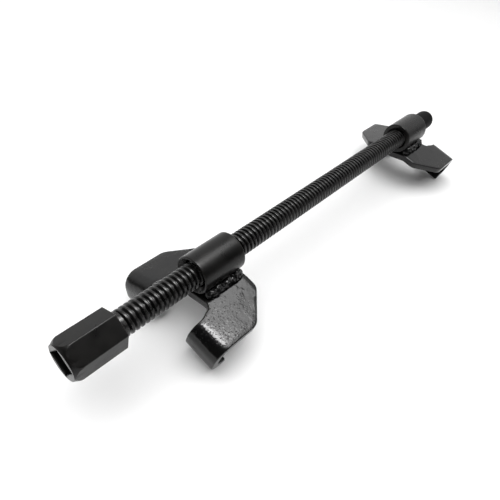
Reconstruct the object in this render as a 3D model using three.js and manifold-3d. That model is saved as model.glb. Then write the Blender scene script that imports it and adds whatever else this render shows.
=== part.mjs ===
// Coil spring compressor: a threaded rod with a hexagonal drive head, a plain jaw that
// slides on the rod, a nut jaw that the thread carries, and an end cap.
// Millimetres, +Z up, the rod along X with its drive head at -X.
// The tool stands on its hook tips at Z = 0, centred on X = 0 and Y = 0.

import * as THREE from 'three';
import { mergeVertices } from 'three/addons/utils/BufferGeometryUtils.js';
import Module from 'manifold-3d';

// ---- Driving dimensions ----

const ROUND = 48;             // sides of every turned surface
const GAP = 0.3;              // clearance between pieces that touch

const OVERALL_L = 375;        // drive head's face to the tip of the end cap

const HEX_AF = 21;            // across the flats of the drive head
const HEX_L = 29.8;
const HEX_TURN = 39.5;        // degrees that one corner stands above +Y
const NOSE_R = 10.3;          // radius of the nose's flat end
const NOSE_L = 5.2;           // length over which the nose rounds off the corners
const NOSE_STEPS = 5;
const HEEL_CHAMFER = 0.3;     // chamfer on the head's corners at the shank
const SQUARE = 13;            // side of the square drive recess
const SQUARE_DEPTH = 16;

const ROD_R = 7.6;            // outside of the thread
const SPIGOT_R = 6;           // turned-down end that carries the end cap
const SPIGOT_L = 10;

const CAP_R = 8;
const CAP_L = 27;
const CAP_BASE_CHAMFER = 0.8;

const BARREL_R = 12;
const BARREL_L = 31.6;
const BARREL_CHAMFER = 0.8;
const SLIDE_BORE_R = ROD_R + 1;           // plain bore of the sliding jaw
const SLIDE_SINK_R = SLIDE_BORE_R + 2;    // mouth of its countersinks
const SLIDE_SINK_L = 2.4;
const NUT_SINK_L = 1.2;       // countersinks of the threaded jaw

const PLATE_T = 5;            // thickness of the jaw plates
const VALLEY_RISE = 1.4;      // rise of the plate from the rod's middle plane to its ridges
const RIDGE_Y = 13;           // ridges, where the wings turn down
const WING_TILT = 14.5;        // degrees that the wings fall outwards
const PLATE_OVERHANG = 1;     // plate past the barrel on the hook side
const MOUTH_HALF = 22.9;      // half width of the mouth-side edge
const MOUTH_CORNER_R = 2.5;
const WING_HALF = 40.2;       // half width across the wings
const SHOULDER_X = 13;        // where the diagonal edge meets the wing's outer side
const SHOULDER_R = 3.5;
const NECK_HALF = 17;         // half width of the gap between the hooks, at the saddle
const HOOK_INNER = 19;        // inner end of each hook's roll
const NECK_R = 4;             // fillet between the hooks and the saddle

const HOOK_X = -9.3;          // where the wing starts to roll, from the barrel's end
const HOOK_R = 9.5;           // outside radius of the roll
const HOOK_WALL = 4;          // straight back between the roll's two bends
const HOOK_SWEEP = 116;       // degrees of the lower bend, which ends in the lip
const BEND_STEP = 13;         // degrees between the roll's sections

const WELD_INSET = 1.6;       // weld bead short of the barrel at each end
const WELD_HIGH = 62;         // degrees up the barrel from its lowest line
const WELD_LOW = 27;
const WELD_FOOT = RIDGE_Y + 0.6;          // half width across the beads' feet
const WELD_BULGE = 1.6;       // crown of the bead beyond its chord

const NEAR_X = 81.2;          // drive head's face to the sliding jaw's hook-side end
const END_PLAY = 1;           // nut jaw to the end cap

// ---- Derived values ----

const rad = THREE.MathUtils.degToRad;
const HEX_CORNER_R = HEX_AF / Math.sqrt(3);
const CAP_X = OVERALL_L - CAP_L;
const FAR_X = CAP_X - END_PLAY;          // nut jaw's hook-side end
const ROD_X = HEX_L + GAP;
const NUT_BORE_R = ROD_R + GAP;
const HOOK_DEPTH = 2 * HOOK_R + HOOK_WALL;
const TILT = rad(WING_TILT);
const AXIS_Z = HOOK_DEPTH * Math.cos(TILT) - topOfPlate(WING_HALF);

// Height of the jaw plate's upper face above the rod's axis, at a distance from the middle.
function topOfPlate(y) {
  const valley = -BARREL_R - GAP;
  const away = Math.abs(y);
  if (away <= RIDGE_Y) return valley + VALLEY_RISE * away / RIDGE_Y;
  return valley + VALLEY_RISE - (away - RIDGE_Y) * Math.tan(TILT);
}

// ---- Solids ----

const wasm = await Module();
wasm.setup();

function toSolid(geometry) {
  const bare = geometry.clone();
  bare.deleteAttribute('normal');
  bare.deleteAttribute('uv');
  const merged = mergeVertices(bare, 1e-5);
  return new wasm.Manifold(new wasm.Mesh({
    numProp: 3,
    vertProperties: new Float32Array(merged.attributes.position.array),
    triVerts: new Uint32Array(merged.index.array),
  }));
}

function fromSolid(solid) {
  const { vertProperties, triVerts } = solid.getMesh();
  const geometry = new THREE.BufferGeometry();
  geometry.setAttribute('position', new THREE.BufferAttribute(vertProperties, 3));
  geometry.setIndex(new THREE.BufferAttribute(triVerts, 1));
  return geometry;
}

// A solid turned about X from [x, radius] points; the profile ends on the axis or closes.
function turned(profile) {
  const points = profile.map(([x, r]) => new THREE.Vector2(r, x));
  return new THREE.LatheGeometry(points, ROUND).rotateZ(-Math.PI / 2);
}

// A prism along +X from x over a length; its outline's two axes become Y and Z.
function prismAlongX(shape, x, length) {
  const geometry = new THREE.ExtrudeGeometry(shape, { depth: length, bevelEnabled: false });
  const turn = new THREE.Matrix4().set(
    0, 0, 1, x,
    1, 0, 0, 0,
    0, 1, 0, 0,
    0, 0, 0, 1,
  );
  return geometry.applyMatrix4(turn);
}

function polygon(sides, radius, firstDegrees) {
  return new THREE.Shape(Array.from({ length: sides }, (_, i) => {
    const angle = rad(firstDegrees + i * 360 / sides);
    return new THREE.Vector2(radius * Math.cos(angle), radius * Math.sin(angle));
  }));
}

// ---- Screw ----

// Hexagon with a turned nose and a square drive recess.
function driveHead() {
  const clear = HEX_CORNER_R + 0.05;
  const nose = [];
  for (let i = 0; i < NOSE_STEPS; i++) {
    const share = i / NOSE_STEPS;
    nose.push([NOSE_L * share, NOSE_R + (clear - NOSE_R) * Math.sin(rad(90 * share))]);
  }
  const hexagon = toSolid(prismAlongX(polygon(6, HEX_CORNER_R, HEX_TURN), 0, HEX_L));
  const envelope = toSolid(turned([
    [0, 0],
    ...nose,
    [NOSE_L, clear],
    [HEX_L - HEEL_CHAMFER, clear],
    [HEX_L, HEX_CORNER_R - HEEL_CHAMFER],
    [HEX_L, 0],
  ]));
  const square = polygon(4, SQUARE / Math.SQRT2, HEX_TURN + 45);
  const recess = toSolid(prismAlongX(square, -1, SQUARE_DEPTH + 1));
  return fromSolid(hexagon.intersect(envelope).subtract(recess));
}

// The thread's outside diameter, then the spigot inside the end cap.
function threadedRod() {
  const shoulder = CAP_X - GAP;
  return turned([
    [ROD_X, 0],
    [ROD_X, ROD_R],
    [shoulder, ROD_R],
    [shoulder, SPIGOT_R],
    [shoulder + SPIGOT_L, SPIGOT_R],
    [shoulder + SPIGOT_L, 0],
  ]);
}

// Domed cap with a blind socket for the spigot.
function endCap() {
  const socketR = SPIGOT_R + GAP;
  const socketEnd = CAP_X + SPIGOT_L;
  const domeX = OVERALL_L - CAP_R;
  const dome = [];
  for (let degrees = 90; degrees > 0; degrees -= 10) {
    dome.push([domeX + CAP_R * Math.cos(rad(degrees)), CAP_R * Math.sin(rad(degrees))]);
  }
  return turned([
    [socketEnd, 0],
    [socketEnd, socketR],
    [CAP_X, socketR],
    [CAP_X, CAP_R - CAP_BASE_CHAMFER],
    [CAP_X + CAP_BASE_CHAMFER, CAP_R],
    ...dome,
    [OVERALL_L, 0],
  ]);
}

// ---- Jaws, with X = 0 at the barrel's hook-side end and the mouth towards +X ----

function barrel(boreR, sinkR, sinkL) {
  const rim = BARREL_R - BARREL_CHAMFER;
  return turned([
    [0, sinkR],
    [0, rim],
    [BARREL_CHAMFER, BARREL_R],
    [BARREL_L - BARREL_CHAMFER, BARREL_R],
    [BARREL_L, rim],
    [BARREL_L, sinkR],
    [BARREL_L - sinkL, boreR],
    [sinkL, boreR],
    [0, sinkR],
  ]);
}

// Half width of the plate's outer edge: mouth corner, diagonal, shoulder and side.
function outerEdge() {
  const mouth = new THREE.Vector2(BARREL_L, MOUTH_HALF);
  const shoulder = new THREE.Vector2(SHOULDER_X, WING_HALF);
  const diagonal = shoulder.clone().sub(mouth).normalize();
  const before = (corner, along, r) => corner.clone().addScaledVector(along, -r);
  const path = new THREE.Path();
  const sideways = new THREE.Vector2(0, 1);
  const back = new THREE.Vector2(-1, 0);
  path.moveTo(...before(mouth, sideways, MOUTH_CORNER_R));
  path.quadraticCurveTo(...mouth, ...before(mouth, diagonal, -MOUTH_CORNER_R));
  path.lineTo(...before(shoulder, diagonal, SHOULDER_R));
  path.quadraticCurveTo(...shoulder, ...before(shoulder, back, -SHOULDER_R));
  path.lineTo(HOOK_X, WING_HALF);
  return path.getPoints(4);
}

// Sections of the plate from its mouth edge to the lip. Each has the outer face's point in the
// wing's plane (x along the rod, depth below the wing), its outward direction, the half width
// to the outer edge, and the inner half width past the saddle.
function plateSections() {
  const edge = outerEdge();
  const widthAt = (x) => {
    const i = edge.findIndex((point) => point.x <= x + 1e-9);
    if (i <= 0) return edge[0].y;
    const t = (edge[i - 1].x - x) / (edge[i - 1].x - edge[i].x);
    return THREE.MathUtils.lerp(edge[i - 1].y, edge[i].y, t);
  };
  const fillet = [0, 25, 50, 75, 90].map((degrees) => ({
    x: -PLATE_OVERHANG - NECK_R * (1 - Math.cos(rad(degrees))),
    half: NECK_HALF - NECK_R * (1 - Math.sin(rad(degrees))),
  }));
  const neckAt = (x) => {
    const step = fillet.find((point) => Math.abs(point.x - x) < 1e-9);
    return step ? step.half : x <= HOOK_X ? HOOK_INNER : NECK_HALF;
  };
  const stations = [...edge.map((point) => point.x), ...fillet.map((point) => point.x)]
    .sort((a, b) => b - a)
    .filter((x, i, all) => i === 0 || all[i - 1] - x > 0.05);
  const sections = stations.map((x) => ({
    x, depth: 0, out: [0, 1], outer: widthAt(x), inner: x > -PLATE_OVERHANG + 1e-9 ? 0 : neckAt(x),
  }));
  const bend = (drop, from, to) => {
    const steps = Math.ceil((to - from) / BEND_STEP);
    for (let i = 1; i <= steps; i += 1) {
      const angle = rad(from + (to - from) * i / steps);
      const out = [-Math.sin(angle), Math.cos(angle)];
      sections.push({
        x: HOOK_X + HOOK_R * out[0], depth: HOOK_R * (1 - out[1]) + drop,
        out, outer: WING_HALF, inner: HOOK_INNER,
      });
    }
  };
  bend(0, 0, 90);
  const wall = sections.at(-1);
  sections.push({ ...wall, depth: wall.depth + HOOK_WALL });
  bend(HOOK_WALL, 90, 90 + HOOK_SWEEP);
  return sections;
}

// One stamped plate: a shallow valley under the barrel, ridges, sloping wings and hooks.
// The sheet is a grid of cells with an upper and a lower face; cells between the hooks are absent.
function jawPlate() {
  const sections = plateSections();
  const saddle = [0, 0.35, 0.7];                  // shares of the ridge's half width
  const wing = [0, 0.2, 0.5, 0.8, 1];             // shares from the inner end to the outer edge
  const half = [...saddle.map((share) => ({ share, onWing: false })),
    ...wing.map((share) => ({ share, onWing: true }))];
  const columns = [...half.slice(1).reverse().map((c) => ({ ...c, side: -1 })),
    ...half.map((c) => ({ ...c, side: 1 }))];

  const place = (section, column, below) => {
    const inner = section.inner || RIDGE_Y;
    const y = column.onWing
      ? THREE.MathUtils.lerp(inner, section.outer, column.share)
      : column.share * RIDGE_Y;
    const slope = y > RIDGE_Y ? TILT
      : y === RIDGE_Y ? TILT / 2
        : y > 0 ? -Math.atan(VALLEY_RISE / RIDGE_Y) : 0;
    const x = section.x - below * section.out[0];
    const down = section.depth + below * section.out[1];
    return new THREE.Vector3(
      x,
      column.side * (y - down * Math.sin(slope)),
      topOfPlate(y) - down * Math.cos(slope),
    );
  };

  const vertices = [];
  const index = [];
  const last = columns.length - 1;
  const at = (row, column, face) => (row * columns.length + column) * 2 + face;
  for (const section of sections) {
    for (const column of columns) {
      vertices.push(...place(section, column, 0), ...place(section, column, PLATE_T));
    }
  }
  const quad = (a, b, c, d) => index.push(a, b, c, a, c, d);
  const present = (row, column) => row >= 0 && row < sections.length - 1
    && column >= 0 && column < last
    && (sections[row + 1].inner === 0 || sections[row].inner === 0
      || (columns[column].onWing && columns[column + 1].onWing));
  for (let row = 0; row < sections.length - 1; row += 1) {
    for (let column = 0; column < last; column += 1) {
      if (!present(row, column)) continue;
      const [a, b, c, d] = [[row, column], [row, column + 1], [row + 1, column + 1], [row + 1, column]];
      quad(...[a, b, c, d].map((v) => at(...v, 0)));
      quad(...[d, c, b, a].map((v) => at(...v, 1)));
      const wall = (from, to) => quad(at(...to, 0), at(...from, 0), at(...from, 1), at(...to, 1));
      if (!present(row - 1, column)) wall(a, b);
      if (!present(row, column + 1)) wall(b, c);
      if (!present(row + 1, column)) wall(c, d);
      if (!present(row, column - 1)) wall(d, a);
    }
  }
  const geometry = new THREE.BufferGeometry();
  geometry.setAttribute('position', new THREE.Float32BufferAttribute(vertices, 3));
  geometry.setIndex(index);
  return fromSolid(toSolid(geometry));
}

// Fillet weld between the barrel and the plate, on one side.
function weldBead(side) {
  const reach = BARREL_R + GAP;
  const shape = new THREE.Shape();
  const onBarrel = (degrees) => [
    side * reach * Math.sin(rad(degrees)), -reach * Math.cos(rad(degrees)),
  ];
  shape.moveTo(...onBarrel(WELD_LOW));
  const steps = 5;
  for (let i = 1; i <= steps; i += 1) {
    shape.lineTo(...onBarrel(WELD_LOW + (WELD_HIGH - WELD_LOW) * i / steps));
  }
  const top = new THREE.Vector2(...onBarrel(WELD_HIGH));
  const foot = new THREE.Vector2(side * WELD_FOOT, topOfPlate(WELD_FOOT) + GAP);
  const crown = top.clone().add(foot).multiplyScalar(0.5);
  const outward = new THREE.Vector2(side * (top.y - foot.y), side * (foot.x - top.x)).normalize();
  crown.addScaledVector(outward, 2 * WELD_BULGE);
  for (const t of [0.25, 0.5, 0.75, 1]) {
    const a = top.clone().lerp(crown, t);
    shape.lineTo(...a.lerp(crown.clone().lerp(foot, t), t));
  }
  shape.lineTo(side * RIDGE_Y, topOfPlate(RIDGE_Y) + GAP);
  const toe = onBarrel(WELD_LOW);
  shape.lineTo(toe[0], Math.min(toe[1], topOfPlate(toe[0]) + GAP));
  return prismAlongX(shape, WELD_INSET, BARREL_L - 2 * WELD_INSET);
}

function jaw(prefix, barrelGeometry) {
  const group = new THREE.Group();
  group.add(
    named(`${prefix}_barrel`, barrelGeometry, BLACK_OXIDE),
    named(`${prefix}_jaw_plate`, jawPlate(), GLOSS_PAINT),
    named(`${prefix}_left_weld`, weldBead(1), WELD_PAINT),
    named(`${prefix}_right_weld`, weldBead(-1), WELD_PAINT),
  );
  return group;
}

// ---- Materials ----

const BLACK_OXIDE = { color: 0x2a2a2b, roughness: 0.38, metalness: 0.85 };
const ROD_OXIDE = { color: 0x242425, roughness: 0.42, metalness: 0.85 };
const GLOSS_PAINT = { color: 0x18181a, roughness: 0.2, metalness: 0.1 };
const WELD_PAINT = { color: 0x1b1b1d, roughness: 0.3, metalness: 0.2 };
const CAP_PLASTIC = { color: 0x141415, roughness: 0.7, metalness: 0 };

function named(name, geometry, finish) {
  const mesh = new THREE.Mesh(geometry, new THREE.MeshStandardMaterial(finish));
  mesh.name = name;
  return mesh;
}

// ---- Assembly ----

const compressor = new THREE.Group();
compressor.position.set(-OVERALL_L / 2, 0, AXIS_Z);

const nearJaw = jaw('near', barrel(SLIDE_BORE_R, SLIDE_SINK_R, SLIDE_SINK_L));
nearJaw.position.x = NEAR_X;

const farJaw = jaw('far', barrel(NUT_BORE_R, NUT_BORE_R + NUT_SINK_L, NUT_SINK_L));
farJaw.position.x = FAR_X;
farJaw.rotation.z = Math.PI;

compressor.add(
  named('drive_head', driveHead(), BLACK_OXIDE),
  named('threaded_rod', threadedRod(), ROD_OXIDE),
  named('end_cap', endCap(), CAP_PLASTIC),
  nearJaw,
  farJaw,
);

export default compressor;
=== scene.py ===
"""Surfaces, finishes and stage of a coil spring compressor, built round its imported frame.

Lengths are in metres. The rod lies along X, with its drive head at the low end.
"""

import math

import bmesh
import bpy
from mathutils import Euler, Matrix, Vector, noise


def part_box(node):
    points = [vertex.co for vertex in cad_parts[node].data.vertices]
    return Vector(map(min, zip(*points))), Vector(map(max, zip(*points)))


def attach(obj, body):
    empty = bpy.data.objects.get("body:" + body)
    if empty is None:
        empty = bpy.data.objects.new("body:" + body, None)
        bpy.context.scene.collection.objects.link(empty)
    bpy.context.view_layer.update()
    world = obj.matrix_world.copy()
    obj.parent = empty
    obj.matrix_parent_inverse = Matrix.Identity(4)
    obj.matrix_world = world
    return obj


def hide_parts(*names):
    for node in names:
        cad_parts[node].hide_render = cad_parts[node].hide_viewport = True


bl_info = {
    "name": "Coil spring compressor",
    "version": (1, 0, 0),
    "blender": (4, 5, 0),
    "location": "3D View > Sidebar > Compressor",
    "description": "Builds the surfaces, finishes and stage of a coil spring compressor",
    "category": "Object",
}

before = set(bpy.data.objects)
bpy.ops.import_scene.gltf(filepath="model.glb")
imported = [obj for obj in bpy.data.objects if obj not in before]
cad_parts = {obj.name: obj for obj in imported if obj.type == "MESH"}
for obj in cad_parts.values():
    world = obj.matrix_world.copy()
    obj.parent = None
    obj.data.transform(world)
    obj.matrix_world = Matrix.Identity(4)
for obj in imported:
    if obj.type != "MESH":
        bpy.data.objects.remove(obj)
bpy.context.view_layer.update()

MM = 0.001
TURN = 2 * math.pi
ROUND = 128                       # sides of a turned surface
CREASE = math.radians(32)         # edges sharper than this stay crisp
BRIGHT_SIDE = (0.6, 0.6, 0.5)     # way to the studio's pale wall
DARK_SIDE = (0.02, 0.02, 0.02, 1)    # what the surfaces reflect from the other way
LIT_SPOT = Vector((-0.1, -0.03, 0.02))     # what the lights point at
SCRATCH_TURN = (0, 0, math.radians(32))
SCRATCH_STRETCH = (1, 0.03, 1)    # scratches are long and thin
PLANE_SLACK = 1e-7                # how near a vertex counts as on a cutting plane


def span(node):
    """Lowest and highest X of a node of the frame."""
    low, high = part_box(node)
    return low.x, high.x


AXIS_Z = sum(corner.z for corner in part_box("threaded_rod")) / 2
HEAD_X, HEEL_X = span("drive_head")
CAP_X, TIP_X = span("end_cap")
NEAR_X = span("near_barrel")[0]   # hook-side end of the sliding jaw's barrel
FAR_X = span("far_barrel")[1]     # hook-side end of the nut jaw's barrel
WORN_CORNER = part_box("near_jaw_plate")[0]
WORN_SPOT = (                     # middle of the wing whose paint is most pitted
    WORN_CORNER.x + 15 * MM, WORN_CORNER.y + 14 * MM, AXIS_Z - 12 * MM)


# ---- Sizes and colours that a user would change ----

def length(name, text, millimetres, low=0.0):
    return bpy.props.FloatProperty(
        name=name, description=text, default=millimetres * MM, min=low, unit="LENGTH",
        precision=5,
    )


def angle(name, text, degrees):
    return bpy.props.FloatProperty(
        name=name, description=text, default=math.radians(degrees), subtype="ANGLE")


def colour(name, text, value):
    return bpy.props.FloatVectorProperty(
        name=name, description=text, default=value, size=4, min=0, max=1, subtype="COLOR")


class ScrewSizes(bpy.types.PropertyGroup):
    """Drive head, threaded rod and end cap."""
    hex_af: length("Across flats", "Width of the hexagon", 21)
    hex_turn: angle("Head turn", "Angle of one hexagon corner above +Y", 39.5)
    nose_radius: length("Nose radius", "Flat end of the rounded nose", 10.3)
    nose_length: length("Nose length", "Length over which the nose rounds off the corners", 5.2)
    square: length("Drive square", "Side of the square recess", 13)
    square_depth: length("Square depth", "Depth of the square recess", 16)
    rod_radius: length("Rod radius", "Outside of the thread", 7.6)
    shank: length("Shank", "Plain length behind the head", 3.4)
    pitch: length("Pitch", "Advance of the thread in one turn", 3.175)
    thread_depth: length("Thread depth", "Crest to root", 1.6)
    spigot_radius: length("Spigot radius", "Turned end inside the cap", 6)
    spigot_length: length("Spigot length", "Length of the turned end", 10)
    cap_wall: length("Cap clearance", "Gap round the spigot", 0.3)


class JawSizes(bpy.types.PropertyGroup):
    """Barrels, stamped plates and weld beads."""
    barrel_radius: length("Barrel radius", "Outside of the barrels", 12)
    bore_radius: length("Sliding bore", "Bore of the sliding jaw", 8.6)
    sink_radius: length("Countersink", "Mouth of the sliding jaw's countersinks", 10.7)
    sink_length: length("Countersink depth", "Depth of the countersinks", 2.4)
    nut_clearance: length("Nut clearance", "Gap round the thread in the nut jaw", 0.3)
    plate: length("Plate", "Thickness of the stamped plates", 5)
    valley_rise: length("Valley rise", "Ridge above the valley", 1.4)
    ridge: length("Ridge", "Half width between the ridges", 13)
    wing_tilt: angle("Wing tilt", "Fall of the wings", 14.5)
    mouth_half: length("Mouth half width", "Half width of the mouth edge", 22.9)
    wing_half: length("Wing half width", "Half width across the wings", 40.2)
    shoulder: length("Shoulder", "Where the diagonal edge meets the side", 13)
    neck_half: length("Neck half width", "Half width of the gap at the saddle", 17)
    overhang: length("Overhang", "Plate past the barrel on the hook side", 1)
    hook_inner: length("Hook inner end", "Half width between the rolls", 19)
    hook_start: length("Hook start", "Where the wing starts to roll, past the barrel", 9.3)
    hook_radius: length("Hook radius", "Outside radius of the roll", 9.5)
    hook_wall: length("Hook back", "Straight back between the two bends", 4)
    hook_sweep: angle("Hook sweep", "Angle of the lower bend", 116)
    bead_radius: length("Bead radius", "Radius of the weld beads", 3.1)


class Finishes(bpy.types.PropertyGroup):
    """Base colours."""
    oxide: colour("Black oxide", "Barrels and drive head", (0.003, 0.0029, 0.0028, 1))
    thread: colour("Thread oxide", "Threaded rod", (0.0025, 0.0025, 0.0025, 1))
    paint: colour("Gloss paint", "Jaw plates and welds", (0.0028, 0.0028, 0.003, 1))
    plastic: colour("Cap plastic", "End cap", (0.0022, 0.0022, 0.0023, 1))
    floor: colour("Floor", "Studio floor", (0.86, 0.86, 0.86, 1))


class Studio(bpy.types.PropertyGroup):
    """Camera and lights."""
    lens: bpy.props.FloatProperty(
        name="Lens", description="Focal length in millimetres", default=34.57, min=1)
    camera_from_head: bpy.props.FloatVectorProperty(
        name="Camera", description="Camera from the head's face on the rod's axis", size=3,
        default=(-0.0479, -0.13328, 0.19554), subtype="TRANSLATION", unit="LENGTH")
    heading: angle("Heading", "Clockwise turn of the view from +Y", 53.46)
    elevation: angle("Elevation", "Fall of the view below the horizon", 42.903)
    roll: angle("Roll", "Turn of the camera about its view", 7.678)
    strip: bpy.props.FloatProperty(
        name="Strip", description="Power of the bright core of the highlights", default=7, min=0)
    panel: bpy.props.FloatProperty(
        name="Panel", description="Power of the wide, dim reflection", default=8, min=0)
    ceiling: bpy.props.FloatProperty(
        name="Ceiling", description="Power of the soft light from above", default=18, min=0)
    sky: bpy.props.FloatProperty(
        name="Surround", description="Strength of the pale surround", default=1.0, min=0)


def settings(name):
    return getattr(bpy.context.scene, name)


# ---- Mesh helpers ----

def all_geometry(bm):
    return bm.verts[:] + bm.edges[:] + bm.faces[:]


def turned(bm, profile, closed, steps=ROUND):
    """Spins [x, radius] points round the rod's axis."""
    verts = [bm.verts.new((x, 0, r)) for x, r in profile]
    pairs = list(zip(verts, verts[1:]))
    if closed:
        pairs.append((verts[-1], verts[0]))
    edges = [bm.edges.new(pair) for pair in pairs]
    bmesh.ops.spin(
        bm, geom=verts + edges, cent=(0, 0, 0), axis=(1, 0, 0), dvec=(0, 0, 0),
        angle=TURN, steps=steps, use_merge=True, use_duplicate=False)
    bmesh.ops.remove_doubles(bm, verts=bm.verts, dist=1e-6)


def arc(x, r, radius, start, end, steps):
    """Points of a profile's round corner, by degrees from +X towards the outside."""
    points = []
    for i in range(steps + 1):
        a = math.radians(start + (end - start) * i / steps)
        points.append((x + radius * math.cos(a), r + radius * math.sin(a)))
    return points


def soften(bm, edges, offset, segments):
    bmesh.ops.bevel(
        bm, geom=edges, offset=offset, offset_type="OFFSET", segments=segments,
        profile=0.5, affect="EDGES", material=-1, clamp_overlap=True)


def slice_along(bm, axis, places):
    """Cuts everything across an axis at each place."""
    for place in places:
        co = Vector((0, 0, 0))
        no = Vector((0, 0, 0))
        co[axis] = place
        no[axis] = 1
        bmesh.ops.bisect_plane(
            bm, geom=all_geometry(bm), dist=PLANE_SLACK, plane_co=co, plane_no=no)


def steps_between(low, high, step):
    count = max(1, round((high - low) / step))
    return [low + (high - low) * i / count for i in range(1, count)]


def make_piece(name, bm, body, slot, material, *nodes):
    """Turns a bmesh built round the rod's axis into a piece that rides on a body."""
    bmesh.ops.translate(bm, verts=bm.verts, vec=(0, 0, AXIS_Z))
    bmesh.ops.recalc_face_normals(bm, faces=bm.faces)
    for face in bm.faces:
        face.smooth = True
    for edge in bm.edges:
        edge.smooth = len(edge.link_faces) == 2 and edge.calc_face_angle(0) < CREASE
    mesh = bpy.data.meshes.new(name)
    bm.to_mesh(mesh)
    bm.free()
    piece = bpy.data.objects.new(name, mesh)
    bpy.context.scene.collection.objects.link(piece)
    mesh.materials.append(material)
    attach(piece, body)
    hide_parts(*nodes)


# ---- Material helpers ----

class Nodes:
    """Short ways to place and join the nodes of a tree."""

    def __init__(self, tree):
        self.tree = tree

    def add(self, kind, **values):
        node = self.tree.nodes.new(kind)
        for key, value in values.items():
            if key in node.bl_rna.properties:
                setattr(node, key, value)
            else:
                node.inputs[key.replace("_", " ")].default_value = value
        return node

    def link(self, source, target):
        self.tree.links.new(source, target)

    def math(self, operation, a, b):
        node = self.tree.nodes.new("ShaderNodeMath")
        node.operation = operation
        for socket, value in zip(node.inputs, (a, b)):
            if isinstance(value, (int, float)):
                socket.default_value = value
            else:
                self.link(value, socket)
        return node.outputs[0]

    def scaled(self, vector, factors):
        node = self.tree.nodes.new("ShaderNodeVectorMath")
        node.operation = "MULTIPLY"
        self.link(vector, node.inputs[0])
        node.inputs[1].default_value = factors
        return node.outputs[0]

    def noise(self, vector, scale, detail=3.0, roughness=0.5):
        node = self.tree.nodes.new("ShaderNodeTexNoise")
        node.inputs["Detail"].default_value = detail
        node.inputs["Roughness"].default_value = roughness
        self.link(vector, node.inputs["Vector"])
        if isinstance(scale, (int, float)):
            node.inputs["Scale"].default_value = scale
        else:
            self.link(scale, node.inputs["Scale"])
        return node.outputs["Fac"]

    def ramp(self, value, low, high):
        """0 below low and 1 above high, with a smooth change between."""
        node = self.tree.nodes.new("ShaderNodeMapRange")
        node.interpolation_type = "SMOOTHSTEP"
        node.inputs["From Min"].default_value = low
        node.inputs["From Max"].default_value = high
        self.link(value, node.inputs["Value"])
        return node.outputs["Result"]

    def mix(self, mask, a, b):
        node = self.tree.nodes.new("ShaderNodeMix")
        node.data_type = "RGBA"
        self.link(mask, node.inputs[0])
        for socket, value in ((node.inputs[6], a), (node.inputs[7], b)):
            if isinstance(value, bpy.types.NodeSocket):
                self.link(value, socket)
            else:
                socket.default_value = value
        return node.outputs[2]


def shader_group(name, inputs, outputs):
    """Node helper, entry and exit of a new group with named float sockets."""
    tree = bpy.data.node_groups.new(name, "ShaderNodeTree")
    for label, value in inputs.items():
        socket = tree.interface.new_socket(label, in_out="INPUT", socket_type="NodeSocketFloat")
        socket.default_value = value
    for label in outputs:
        tree.interface.new_socket(label, in_out="OUTPUT", socket_type="NodeSocketFloat")
    nodes = Nodes(tree)
    return nodes, nodes.add("NodeGroupInput"), nodes.add("NodeGroupOutput")


def turned_marks():
    """Fine rings that a lathe tool leaves round the X axis."""
    nodes, entry, result = shader_group("turned_marks", {"Rings": 5000.0}, ["Height"])
    place = nodes.add("ShaderNodeTexCoord").outputs["Object"]
    rings = nodes.noise(nodes.scaled(place, (1, 0.02, 0.02)), entry.outputs["Rings"], 2)
    nodes.link(rings, result.inputs["Height"])
    return nodes.tree


def grime():
    """Broad patches and fine specks, for tone and roughness that vary over a surface."""
    nodes, entry, result = shader_group(
        "grime", {"Patch Scale": 60.0, "Speck Scale": 900.0}, ["Patches", "Specks"])
    place = nodes.add("ShaderNodeTexCoord").outputs["Object"]
    patches = nodes.noise(place, entry.outputs["Patch Scale"], 5, 0.6)
    specks = nodes.noise(place, entry.outputs["Speck Scale"], 4, 0.7)
    nodes.link(nodes.ramp(patches, 0.35, 0.65), result.inputs["Patches"])
    nodes.link(nodes.ramp(specks, 0.58, 0.72), result.inputs["Specks"])
    return nodes.tree


def worn_and_highlit_edges():
    """1 on convex edges and corners, broken up by noise; used to lighten edges, partly as worn bare
    metal and partly as a painted rim highlight.
    """
    nodes, entry, result = shader_group("worn_and_highlit_edges", {"Scale": 700.0}, ["Mask"])
    place = nodes.add("ShaderNodeTexCoord").outputs["Object"]
    sharp = nodes.ramp(nodes.add("ShaderNodeNewGeometry").outputs["Pointiness"], 0.51, 0.58)
    broken = nodes.ramp(nodes.noise(place, entry.outputs["Scale"], 4, 0.6), 0.4, 0.62)
    nodes.link(nodes.math("MULTIPLY", sharp, broken), result.inputs["Mask"])
    return nodes.tree


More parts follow.
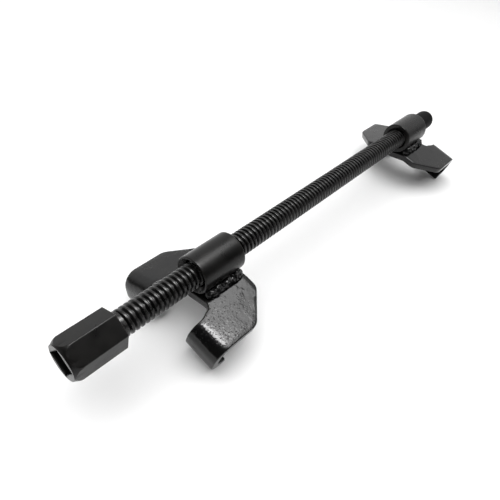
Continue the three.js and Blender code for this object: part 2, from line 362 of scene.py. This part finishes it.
def paint_relief():
    """Orange peel, pits and scratches of a dipped coat."""
    nodes, entry, result = shader_group(
        "paint_relief", {"Peel Scale": 380.0, "Pit Scale": 700.0, "Pit Depth": 1.0},
        ["Height", "Scratches"])
    place = nodes.add("ShaderNodeTexCoord").outputs["Object"]
    peel = nodes.noise(place, entry.outputs["Peel Scale"], 2)
    cells = nodes.add("ShaderNodeTexVoronoi", distance="EUCLIDEAN")
    nodes.link(place, cells.inputs["Vector"])
    nodes.link(entry.outputs["Pit Scale"], cells.inputs["Scale"])
    dimple = nodes.math("SUBTRACT", 1.0, nodes.ramp(cells.outputs["Distance"], 0.08, 0.3))
    spot = nodes.add("ShaderNodeVectorMath", operation="DISTANCE")
    nodes.link(place, spot.inputs[0])
    spot.inputs[1].default_value = WORN_SPOT
    worn = nodes.math("SUBTRACT", 1.0, nodes.ramp(spot.outputs["Value"], 9 * MM, 20 * MM))
    patch = nodes.math("ADD", nodes.noise(place, 110, 3), nodes.math("MULTIPLY", worn, 0.17))
    where = nodes.ramp(patch, 0.52, 0.64)
    pits = nodes.math("MULTIPLY", dimple, where)
    broad = nodes.noise(place, 60, 1)
    pebble = nodes.math("MULTIPLY", nodes.noise(place, 700, 2), where)
    turned_place = nodes.add("ShaderNodeMapping", vector_type="POINT")
    turned_place.inputs["Rotation"].default_value = SCRATCH_TURN
    turned_place.inputs["Scale"].default_value = SCRATCH_STRETCH
    nodes.link(place, turned_place.inputs["Vector"])
    lines = nodes.noise(turned_place.outputs["Vector"], 1500, 2)
    scratches = nodes.math("MULTIPLY", nodes.ramp(lines, 0.66, 0.74),
                           nodes.ramp(nodes.noise(place, 45, 2), 0.5, 0.6))
    depth = nodes.math("MULTIPLY", pits, entry.outputs["Pit Depth"])
    height = nodes.math("SUBTRACT", nodes.math("MULTIPLY", peel, 0.6), depth)
    for layer, share in ((broad, 3.4), (pebble, 1.25), (scratches, -0.4)):
        height = nodes.math("ADD", height, nodes.math("MULTIPLY", layer, share))
    nodes.link(height, result.inputs["Height"])
    nodes.link(scratches, result.inputs["Scratches"])
    return nodes.tree


def shared_group(maker):
    """The node group of that maker, built the first time it is asked for."""
    return bpy.data.node_groups.get(maker.__name__) or maker()


def place_group(nodes, maker, **values):
    node = nodes.add("ShaderNodeGroup")
    node.node_tree = shared_group(maker)
    for label, value in values.items():
        node.inputs[label.replace("_", " ")].default_value = value
    return node


def new_material(name):
    """A material, its node helper and its shader."""
    material = bpy.data.materials.new(name)
    material.use_nodes = True
    nodes = Nodes(material.node_tree)
    return material, nodes, material.node_tree.nodes["Principled BSDF"]


def relief(nodes, shader, height, distance, strength):
    bump = nodes.add("ShaderNodeBump", Distance=distance, Strength=strength)
    nodes.link(height, bump.inputs["Height"])
    nodes.link(bump.outputs["Normal"], shader.inputs["Normal"])


def oxide_finish(name, base, rings, worn, rough, sheen):
    """Black oxide over machined steel: lathe rings, patchy sheen, and edges lightened partly as
    bare steel and partly as a painted rim highlight.
    """
    material, nodes, shader = new_material(name)
    shader.inputs["Metallic"].default_value = 0.15
    shader.inputs["Specular IOR Level"].default_value = sheen
    marks = place_group(nodes, turned_marks, Rings=rings)
    dirt = place_group(nodes, grime, Patch_Scale=70.0, Speck_Scale=1300.0)
    edge_wear_and_highlight = place_group(nodes, worn_and_highlit_edges, Scale=900.0)
    warm = [channel * factor for channel, factor in zip(base, (1.35, 1.27, 1.2))] + [1]
    tone = nodes.mix(dirt.outputs["Patches"], list(base), warm)
    tone = nodes.mix(dirt.outputs["Specks"], tone, [channel * 0.6 for channel in base[:3]] + [1])
    # Lightens convex edges: partly worn bare steel, partly a painted rim highlight.
    tone = nodes.mix(edge_wear_and_highlight.outputs["Mask"], tone, worn)
    nodes.link(tone, shader.inputs["Base Color"])
    gloss = nodes.math("MULTIPLY", dirt.outputs["Patches"], 0.1)
    gloss = nodes.math("ADD", gloss, rough)
    gloss = nodes.math("ADD", gloss, nodes.math("MULTIPLY", dirt.outputs["Specks"], 0.12))
    nodes.link(gloss, shader.inputs["Roughness"])
    relief(nodes, shader, marks.outputs["Height"], 0.00003, 0.5)
    return material


def paint_finish(name, base, rough, pit_depth):
    """Gloss black dipped paint with orange peel, pits, scratches, and edges lightened partly as
    worn paint and partly as a painted rim highlight.
    """
    material, nodes, shader = new_material(name)
    shader.inputs["Specular IOR Level"].default_value = 0.35
    surface = place_group(nodes, paint_relief, Pit_Depth=pit_depth)
    dirt = place_group(nodes, grime, Patch_Scale=45.0, Speck_Scale=1100.0)
    edge_wear_and_highlight = place_group(nodes, worn_and_highlit_edges, Scale=500.0)
    tone = nodes.mix(dirt.outputs["Patches"], list(base), [0.005, 0.0048, 0.0045, 1])
    tone = nodes.mix(surface.outputs["Scratches"], tone, [0.012, 0.012, 0.012, 1])
    # Lightens convex edges: partly worn paint, partly a painted rim highlight.
    tone = nodes.mix(edge_wear_and_highlight.outputs["Mask"], tone, [0.008, 0.0078, 0.0075, 1])
    nodes.link(tone, shader.inputs["Base Color"])
    gloss = nodes.math("MULTIPLY", dirt.outputs["Patches"], 0.1)
    gloss = nodes.math("ADD", gloss, rough)
    gloss = nodes.math("ADD", gloss, nodes.math("MULTIPLY", surface.outputs["Scratches"], 0.25))
    nodes.link(gloss, shader.inputs["Roughness"])
    relief(nodes, shader, surface.outputs["Height"], 0.00012, 0.6)
    return material


def plastic_finish(name, base):
    """Matte moulded plastic with a fine spark-eroded grain."""
    material, nodes, shader = new_material(name)
    dirt = place_group(nodes, grime, Patch_Scale=90.0, Speck_Scale=2400.0)
    tone = nodes.mix(dirt.outputs["Patches"], list(base), [0.004, 0.004, 0.004, 1])
    nodes.link(tone, shader.inputs["Base Color"])
    shader.inputs["Specular IOR Level"].default_value = 0.05
    gloss = nodes.math("ADD", nodes.math("MULTIPLY", dirt.outputs["Specks"], 0.15), 0.5)
    nodes.link(gloss, shader.inputs["Roughness"])
    relief(nodes, shader, dirt.outputs["Specks"], 0.00005, 0.4)
    return material


def finish_of(slot):
    """The material of a slot, made once."""
    made = bpy.data.materials.get(slot + "_finish")
    if made:
        return made
    colours = settings("compressor_finishes")
    name = slot + "_finish"
    if slot == "black_oxide":
        # The fourth value is the edge colour: partly worn steel, partly a painted rim highlight.
        return oxide_finish(name, colours.oxide, 6000.0, [0.04, 0.038, 0.036, 1], 0.26, 0.27)
    if slot == "rod_oxide":
        return oxide_finish(name, colours.thread, 9000.0, [0.04, 0.039, 0.038, 1], 0.22, 0.38)
    if slot == "gloss_paint":
        return paint_finish(name, colours.paint, 0.13, 1.5)
    if slot == "weld_paint":
        return paint_finish(name, colours.paint, 0.24, 0.6)
    return plastic_finish(name, colours.plastic)


# ---- Screw ----

def hexagon_radius(turn, af, theta):
    """Distance from the axis to the hexagon's side at an angle."""
    corner = math.pi / 3
    off = (theta - turn) % corner - corner / 2
    return af / 2 / math.cos(off)


def square_radius(turn, side, theta):
    off = (theta - turn + math.pi / 4) % (math.pi / 2) - math.pi / 4
    return side / 2 / math.cos(off)


class BuildDriveHead(bpy.types.Operator):
    """Hexagonal head with a turned nose and a square recess"""
    bl_idname = "compressor.drive_head"
    bl_label = "Drive head"

    def execute(self, context):
        sizes = settings("compressor_screw")
        sides = 120
        corner = sizes.hex_af / math.sqrt(3)
        lip = 0.5 * MM
        mouth = 0.7 * MM

        def on_nose(x):
            reach = (x - lip) / (sizes.nose_length - lip)
            return sizes.nose_radius + (corner - sizes.nose_radius) * math.sin(TURN / 4 * reach)

        def nose_meets(radius):
            share = (radius - sizes.nose_radius) / (corner - sizes.nose_radius)
            reach = math.asin(min(max(share, 0.0), 1.0)) / (TURN / 4)
            return lip + reach * (sizes.nose_length - lip)

        def rings(theta):
            """(x, radius) of each ring at an angle, from the recess floor to the heel."""
            flat = hexagon_radius(sizes.hex_turn, sizes.hex_af, theta)
            square = square_radius(sizes.hex_turn, sizes.square, theta)
            wide = square_radius(sizes.hex_turn, sizes.square + 2 * mouth, theta)
            wide = min(wide, sizes.nose_radius - lip / 2)
            meet = nose_meets(flat)
            heel = HEEL_X - HEAD_X
            yield sizes.square_depth, square * 0.5
            yield sizes.square_depth, square
            yield mouth, square
            yield 0.0, wide
            yield 0.0, sizes.nose_radius - lip * 0.3
            yield lip * 0.3, sizes.nose_radius - lip * 0.1
            yield lip, sizes.nose_radius
            for share in (0.25, 0.5, 0.75):
                x = lip + (meet - lip) * share
                yield x, on_nose(x)
            yield meet, flat
            yield sizes.nose_length + 1 * MM, flat
            yield heel - 1.2 * MM, flat
            yield heel - (0.3 * MM if flat > corner - 0.3 * MM else 0.15 * MM), flat
            yield heel, min(flat - 0.15 * MM, corner - 0.3 * MM)
            yield heel, sizes.rod_radius * 0.5

        bm = bmesh.new()
        angles = [sizes.hex_turn + TURN * i / sides for i in range(sides)]
        first = bmesh.ops.create_circle(bm, segments=sides, radius=1, cap_ends=False)
        loops = [sorted(first["verts"], key=lambda v: math.atan2(v.co.y, v.co.x) % TURN)]
        ring_edges = bm.edges[:]
        count = len(list(rings(0.0)))
        for _ in range(count - 1):
            grown = bmesh.ops.extrude_edge_only(bm, edges=ring_edges)["geom"]
            ring_edges = [e for e in grown if isinstance(e, bmesh.types.BMEdge)]
            verts = [v for v in grown if isinstance(v, bmesh.types.BMVert)]
            loops.append(sorted(verts, key=lambda v: math.atan2(v.co.y, v.co.x) % TURN))
        for i, theta in enumerate(angles):
            for loop, (x, radius) in zip(loops, rings(theta)):
                loop[i].co = (HEAD_X + x, radius * math.cos(theta), radius * math.sin(theta))
        for loop in (loops[0], loops[-1]):
            bmesh.ops.contextual_create(bm, geom=loop)
        corners = [
            edge for edge in bm.edges
            if abs(edge.verts[0].co.x - edge.verts[1].co.x) > 0.05 * MM
            and all(math.hypot(v.co.y, v.co.z) > corner - 0.02 * MM for v in edge.verts)]
        soften(bm, corners, 0.35 * MM, 3)
        make_piece("drive_head_surface", bm, "screw", "black_oxide",
                   finish_of("black_oxide"), "drive_head")
        return {"FINISHED"}


class BuildThreadedRod(bpy.types.Operator):
    """Rod with a right-hand thread, a plain shank and a turned spigot"""
    bl_idname = "compressor.threaded_rod"
    bl_label = "Threaded rod"

    def execute(self, context):
        sizes = settings("compressor_screw")
        steps = 36
        low, high = span("threaded_rod")
        start = HEEL_X + sizes.shank
        end = high - sizes.spigot_length
        root = sizes.rod_radius - sizes.thread_depth
        crest = sizes.rod_radius
        pitch = sizes.pitch
        profile = [
            (0.0, root), (0.05, root), (0.09, root + 0.1 * MM), (0.27, crest - 0.18 * MM),
            (0.3, crest - 0.05 * MM), (0.34, crest), (0.66, crest), (0.7, crest - 0.05 * MM),
            (0.73, crest - 0.18 * MM), (0.91, root + 0.1 * MM), (0.95, root), (1.0, root)]
        bm = bmesh.new()
        verts = [bm.verts.new((start + (share - 1) * pitch, 0, r)) for share, r in profile]
        edges = [bm.edges.new(pair) for pair in zip(verts, verts[1:])]
        bmesh.ops.spin(
            bm, geom=verts + edges, cent=(0, 0, 0), axis=(1, 0, 0),
            dvec=(pitch / steps, 0, 0), angle=TURN, steps=steps,
            use_merge=False, use_duplicate=False)
        covered = 1
        while start + (covered - 1) * pitch < end:      # each pass doubles the turns
            copy = bmesh.ops.duplicate(bm, geom=all_geometry(bm))["geom"]
            moved = [v for v in copy if isinstance(v, bmesh.types.BMVert)]
            bmesh.ops.translate(bm, verts=moved, vec=(covered * pitch, 0, 0))
            covered *= 2
        bmesh.ops.remove_doubles(bm, verts=bm.verts, dist=0.005 * MM)
        for place, side in ((start, -1), (end, 1)):
            bmesh.ops.bisect_plane(
                bm, geom=all_geometry(bm), dist=PLANE_SLACK, plane_co=(place, 0, 0),
                plane_no=(side, 0, 0), clear_outer=True)
        bmesh.ops.holes_fill(bm, edges=[e for e in bm.edges if e.is_boundary], sides=0)
        shoulder = 0.35 * MM
        turned(bm, [
            (low, 0), (low, crest), (start - shoulder, crest),
            (start + 0.1 * MM, crest - shoulder), (start + 0.1 * MM, 0)], False)
        turned(bm, [
            (end - 0.1 * MM, 0), (end - 0.1 * MM, sizes.spigot_radius),
            (high - shoulder, sizes.spigot_radius), (high, sizes.spigot_radius - shoulder),
            (high, 0)], False)
        make_piece("threaded_rod_surface", bm, "screw", "rod_oxide",
                   finish_of("rod_oxide"), "threaded_rod")
        return {"FINISHED"}


class BuildEndCap(bpy.types.Operator):
    """Domed plastic cap over the rod's end"""
    bl_idname = "compressor.end_cap"
    bl_label = "End cap"

    def execute(self, context):
        sizes = settings("compressor_screw")
        low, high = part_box("end_cap")
        radius = (high.z - low.z) / 2
        socket = sizes.spigot_radius + sizes.cap_wall
        floor = CAP_X + sizes.spigot_length + sizes.cap_wall
        edge = 0.7 * MM
        bm = bmesh.new()
        turned(bm, [
            (floor, 0), (floor, socket), (CAP_X + edge, socket), (CAP_X, socket + edge / 2),
            *arc(CAP_X + edge, radius - edge, edge, 180, 90, 5),
            (CAP_X + 3 * MM, radius), (CAP_X + 9 * MM, radius),
            *arc(TIP_X - radius, 0, radius, 90, 0, 20)], False)
        make_piece("end_cap_surface", bm, "end_cap", "cap_plastic",
                   finish_of("cap_plastic"), "end_cap")
        return {"FINISHED"}


# ---- Jaws ----

JAWS = {"near": (NEAR_X, 1), "far": (FAR_X, -1)}   # hook-side end and the mouth's direction


def set_on_rod(bm, jaw):
    """Moves a jaw's geometry from its own frame, mouth towards +X, to its place on the rod."""
    place, way = JAWS[jaw]
    if way < 0:
        half_turn = Matrix.Rotation(math.pi, 3, "Z")
        bmesh.ops.rotate(bm, verts=bm.verts, cent=(0, 0, 0), matrix=half_turn)
    bmesh.ops.translate(bm, verts=bm.verts, vec=(place, 0, 0))


def barrel_length(jaw):
    low, high = span(jaw + "_barrel")
    return high - low


class BuildBarrels(bpy.types.Operator):
    """Turned barrels with countersunk bores"""
    bl_idname = "compressor.barrels"
    bl_label = "Barrels"

    def execute(self, context):
        sizes = settings("compressor_jaws")
        nut_bore = settings("compressor_screw").rod_radius + sizes.nut_clearance
        for jaw in JAWS:
            long = barrel_length(jaw)
            outer = sizes.barrel_radius
            bore = sizes.bore_radius if jaw == "near" else nut_bore
            deep = sizes.sink_length if jaw == "near" else sizes.sink_length / 2
            mouth = sizes.sink_radius if jaw == "near" else nut_bore + deep
            rim = 0.7 * MM
            lip = 0.18 * MM
            bm = bmesh.new()
            turned(bm, [
                (deep, bore), (lip, mouth - lip), (0.04 * MM, mouth),
                *arc(rim, outer - rim, rim, 180, 90, 5),
                (2 * MM, outer), (long - 2 * MM, outer),
                *arc(long - rim, outer - rim, rim, 90, 0, 5),
                (long - 0.04 * MM, mouth), (long - lip, mouth - lip), (long - deep, bore)], True)
            set_on_rod(bm, jaw)
            make_piece(jaw + "_barrel_surface", bm, jaw + "_jaw", "black_oxide",
                       finish_of("black_oxide"), jaw + "_barrel")
        return {"FINISHED"}


def plate_height(sizes, y):
    """Upper face of the plate above the rod's axis, with a rounded ridge."""
    away = abs(y)
    rise = sizes.valley_rise / sizes.ridge
    fall = math.tan(sizes.wing_tilt)
    floor = -sizes.barrel_radius - 0.3 * MM
    blend = 2.5 * MM
    height = floor + rise * min(away, sizes.ridge)
    if away > sizes.ridge:
        height -= (away - sizes.ridge) * fall
    near = max(0.0, blend - abs(away - sizes.ridge))
    return height - (rise + fall) * near * near / (4 * blend)


def plate_slope(sizes, y):
    """Angle that the plate falls outwards at a distance from the middle."""
    blend = 2.5 * MM
    share = (abs(y) - sizes.ridge + blend) / (2 * blend)
    share = min(1.0, max(0.0, share))
    inner = -math.atan(sizes.valley_rise / sizes.ridge) * min(1.0, abs(y) / (4 * MM))
    return inner + (sizes.wing_tilt - inner) * share


def rolled(sizes, u, below):
    """(x, depth) in the wing's plane of a point of the blank, a distance under its face."""
    start = -sizes.hook_start
    run = start - u
    if run <= 0:
        return u, below
    radius = sizes.hook_radius
    quarter = radius * math.pi / 2
    if run <= quarter:
        bend = run / radius
        drop = 0.0
    elif run <= quarter + sizes.hook_wall:
        bend = math.pi / 2
        drop = run - quarter
    else:
        bend = math.pi / 2 + (run - quarter - sizes.hook_wall) / radius
        drop = sizes.hook_wall
    reach = radius - below
    return start - reach * math.sin(bend), radius - reach * math.cos(bend) + drop


class BuildJawPlates(bpy.types.Operator):
    """Stamped plates with rolled hooks, bent from flat blanks"""
    bl_idname = "compressor.jaw_plates"
    bl_label = "Jaw plates"

    def execute(self, context):
        sizes = settings("compressor_jaws")
        for jaw in JAWS:
            bm = bmesh.new()
            lip = self.blank(bm, sizes, barrel_length(jaw))
            flat = [*steps_between(-sizes.hook_start, barrel_length(jaw) - 1.2 * MM, 2.2 * MM)]
            roll = steps_between(lip + 1.2 * MM, -sizes.hook_start, 1.0 * MM)
            slice_along(bm, 0, [lip + 1.2 * MM, *roll, -sizes.hook_start, *flat])
            ridge = steps_between(9 * MM, 17 * MM, 0.8 * MM)
            across = [*steps_between(0, 9 * MM, 2 * MM), 9 * MM, *ridge, 17 * MM,
                      *steps_between(17 * MM, sizes.wing_half - 1.2 * MM, 2.4 * MM)]
            slice_along(bm, 1, [0.0, *across, *[-y for y in across]])
            for vert in bm.verts:
                u, y, below = vert.co.x, vert.co.y, -vert.co.z
                x, depth = rolled(sizes, u, below)
                slope = plate_slope(sizes, y)
                side = math.copysign(1.0, y)
                vert.co = (
                    x, y - side * depth * math.sin(slope),
                    plate_height(sizes, y) - depth * math.cos(slope))
            set_on_rod(bm, jaw)
            make_piece(jaw + "_plate_surface", bm, jaw + "_jaw", "gloss_paint",
                       finish_of("gloss_paint"), jaw + "_jaw_plate")
        return {"FINISHED"}

    @staticmethod
    def blank(bm, sizes, mouth):
        """The flat blank with rounded corners and softened rims; returns the lip's place."""
        quarter = sizes.hook_radius * math.pi / 2
        lip = -sizes.hook_start - quarter - sizes.hook_wall - sizes.hook_radius * sizes.hook_sweep
        saddle = -sizes.overhang
        half = [
            (mouth, sizes.mouth_half, 2.5 * MM),
            (sizes.shoulder, sizes.wing_half, 3.0 * MM),
            (lip, sizes.wing_half, 1.2 * MM),
            (lip, sizes.hook_inner, 1.2 * MM),
            (-sizes.hook_start, sizes.hook_inner, 2.0 * MM),
            (saddle - 4 * MM, sizes.neck_half, 0.0),
            (saddle, sizes.neck_half, 3.8 * MM)]
        outline = half + [(x, -y, r) for x, y, r in reversed(half)]
        verts = [bm.verts.new((x, y, 0)) for x, y, _ in outline]
        face = bm.faces.new(verts)
        for vert, (_, _, radius) in zip(verts, outline):
            if radius:
                bmesh.ops.bevel(
                    bm, geom=[vert], offset=radius, offset_type="OFFSET", segments=6,
                    profile=0.5, affect="VERTICES", material=-1)
        face = bm.faces[:][0]
        if face.normal.z < 0:
            bmesh.ops.reverse_faces(bm, faces=[face])
        grown = bmesh.ops.extrude_face_region(bm, geom=bm.faces[:], use_keep_orig=True)
        lower = [v for v in grown["geom"] if isinstance(v, bmesh.types.BMVert)]
        bmesh.ops.translate(bm, verts=lower, vec=(0, 0, -sizes.plate))
        bmesh.ops.recalc_face_normals(bm, faces=bm.faces)
        for level, offset in ((0.0, 0.9 * MM), (-sizes.plate, 0.5 * MM)):
            rim = [e for e in bm.edges if all(abs(v.co.z - level) < 1e-6 for v in e.verts)]
            soften(bm, rim, offset, 3)
        return lip


class BuildWelds(bpy.types.Operator):
    """Lumpy fillet beads between each barrel and its plate"""
    bl_idname = "compressor.welds"
    bl_label = "Welds"

    def execute(self, context):
        sizes = settings("compressor_jaws")
        for jaw, (_, way) in JAWS.items():
            for side, name in ((1, "left"), (-1, "right")):
                bm = self.bead(sizes, barrel_length(jaw), side, seed=len(jaw) * 7 + side)
                set_on_rod(bm, jaw)
                make_piece(f"{jaw}_{name}_bead", bm, jaw + "_jaw", "weld_paint",
                           finish_of("weld_paint"), f"{jaw}_{name}_weld")
        return {"FINISHED"}

    @staticmethod
    def bead(sizes, long, side, seed):
        """One bead in the jaw's own frame: a rod cut into slices, then swollen ripple by ripple."""
        radius = sizes.bead_radius
        low, high = 1.0 * MM, long - 1.2 * MM
        middle = (low + high) / 2
        bm = bmesh.new()
        lay = Matrix.Translation((middle, 0, 0)) @ Matrix.Rotation(math.pi / 2, 4, "Y")
        bmesh.ops.create_cone(
            bm, cap_ends=True, cap_tris=False, segments=32, radius1=radius, radius2=radius,
            depth=high - low, matrix=lay)
        slice_along(bm, 0, steps_between(low, high, 0.4 * MM))
        ripple = 2.3 * MM
        for vert in bm.verts:
            x, y, z = vert.co
            around = math.atan2(z, y)
            end = min(x - low, high - x, radius)
            taper = math.sqrt(max(0.05, 1 - (1 - end / radius) ** 2))
            crescent = x + 0.8 * MM * math.cos(around - math.radians(40) * side)
            wobble = noise.noise(Vector((x / (5 * MM), seed, 0)))
            wave = abs(math.sin(math.pi * (crescent / ripple + 1.1 * wobble)))
            lump = noise.fractal(Vector((x / (2.6 * MM), 1.1 * around, seed)), 1.0, 2.0, 4)
            swell = taper * (0.9 + 0.07 * wave + 0.3 * lump)
            vert.co.y = y * swell + side * (11.0 + 0.9 * wobble) * MM
            vert.co.z = z * swell - 9.1 * MM
        return bm


# ---- Stage ----

class BuildStage(bpy.types.Operator):
    """Pale floor, soft lights and the camera"""
    bl_idname = "compressor.stage"
    bl_label = "Stage"

    def execute(self, context):
        studio = settings("compressor_studio")
        self.floor()
        self.surround(studio)
        bpy.context.scene.view_settings.view_transform = "Standard"
        strip = self.light(
            "strip", Vector((0.13, -0.05, 0.99)), 1.0, (0.17, 0.6), studio.strip)
        panel = self.light(
            "panel", Vector((0.28, -0.05, 0.96)), 1.1, (0.62, 0.7), studio.panel)
        strip.visible_diffuse = panel.visible_diffuse = False
        ceiling = self.light(
            "ceiling", Vector((0, 0, 1)), 1.0, (1.6, 1.6), studio.ceiling)
        ceiling.visible_glossy = False
        self.camera(studio)
        return {"FINISHED"}

    @staticmethod
    def floor():
        bm = bmesh.new()
        bmesh.ops.create_grid(bm, x_segments=1, y_segments=1, size=4)
        mesh = bpy.data.meshes.new("floor")
        bm.to_mesh(mesh)
        bm.free()
        floor = bpy.data.objects.new("floor", mesh)
        bpy.context.scene.collection.objects.link(floor)
        material, nodes, shader = new_material("floor_finish")
        dirt = place_group(nodes, grime, Patch_Scale=8.0, Speck_Scale=400.0)
        base = settings("compressor_finishes").floor
        tone = nodes.mix(dirt.outputs["Patches"], list(base), [c * 0.985 for c in base[:3]] + [1])
        nodes.link(tone, shader.inputs["Base Color"])
        shader.inputs["Roughness"].default_value = 0.8
        mesh.materials.append(material)

    @staticmethod
    def surround(studio):
        world = bpy.data.worlds.new("surround")
        world.use_nodes = True
        nodes = Nodes(world.node_tree)
        back = world.node_tree.nodes["Background"]
        way = nodes.add("ShaderNodeVectorMath", operation="DOT_PRODUCT")
        nodes.link(nodes.add("ShaderNodeTexCoord").outputs["Generated"], way.inputs[0])
        way.inputs[1].default_value = BRIGHT_SIDE
        share = nodes.ramp(way.outputs["Value"], 0.05, 0.62)
        seen = nodes.add("ShaderNodeLightPath").outputs["Is Camera Ray"]
        share = nodes.math("MAXIMUM", share, seen)     # plain and pale wherever it is seen
        nodes.link(nodes.mix(share, DARK_SIDE, (1, 1, 1, 1)), back.inputs["Color"])
        back.inputs["Strength"].default_value = studio.sky
        bpy.context.scene.world = world

    @staticmethod
    def light(name, way, distance, size, power):
        data = bpy.data.lights.new(name, "AREA")
        data.shape = "RECTANGLE"
        data.size, data.size_y = size
        data.energy = power
        lamp = bpy.data.objects.new(name, data)
        lamp.location = LIT_SPOT + way.normalized() * distance
        lamp.rotation_euler = way.to_track_quat("Z", "Y").to_euler()
        bpy.context.scene.collection.objects.link(lamp)
        return lamp

    @staticmethod
    def camera(studio):
        data = bpy.data.cameras.new("camera")
        data.lens = studio.lens
        data.sensor_width = 36
        data.clip_start = 0.01
        data.dof.use_dof = False
        camera = bpy.data.objects.new("camera", data)
        camera.location = Vector(studio.camera_from_head) + Vector((HEAD_X, 0, AXIS_Z))
        aim = Euler((math.pi / 2 - studio.elevation, 0, -studio.heading)).to_matrix()
        camera.rotation_euler = (aim @ Matrix.Rotation(studio.roll, 3, "Z")).to_euler()
        bpy.context.scene.collection.objects.link(camera)
        bpy.context.scene.camera = camera


class CompressorPanel(bpy.types.Panel):
    """Lists the compressor's sizes, finishes and builders"""
    bl_idname = "VIEW3D_PT_compressor"
    bl_label = "Spring compressor"
    bl_space_type = "VIEW_3D"
    bl_region_type = "UI"
    bl_category = "Compressor"

    def draw(self, context):
        for operator in BUILDERS:
            self.layout.operator(operator.bl_idname)
        for name, group in GROUPS.items():
            box = self.layout.box()
            for prop in group.__annotations__:
                box.prop(settings(name), prop)


GROUPS = {
    "compressor_screw": ScrewSizes,
    "compressor_jaws": JawSizes,
    "compressor_finishes": Finishes,
    "compressor_studio": Studio,
}
BUILDERS = (BuildStage, BuildDriveHead, BuildThreadedRod, BuildEndCap, BuildBarrels,
            BuildJawPlates, BuildWelds)


def register():
    for kind in (*GROUPS.values(), *BUILDERS, CompressorPanel):
        bpy.utils.register_class(kind)
    for name, group in GROUPS.items():
        setattr(bpy.types.Scene, name, bpy.props.PointerProperty(type=group))


def unregister():
    for name in GROUPS:
        delattr(bpy.types.Scene, name)
    for kind in reversed((*GROUPS.values(), *BUILDERS, CompressorPanel)):
        bpy.utils.unregister_class(kind)


def main():
    register()
    bpy.ops.compressor.stage()
    bpy.ops.compressor.drive_head()
    bpy.ops.compressor.threaded_rod()
    bpy.ops.compressor.end_cap()
    bpy.ops.compressor.barrels()
    bpy.ops.compressor.jaw_plates()
    bpy.ops.compressor.welds()


if __name__ == "__main__":
    main()
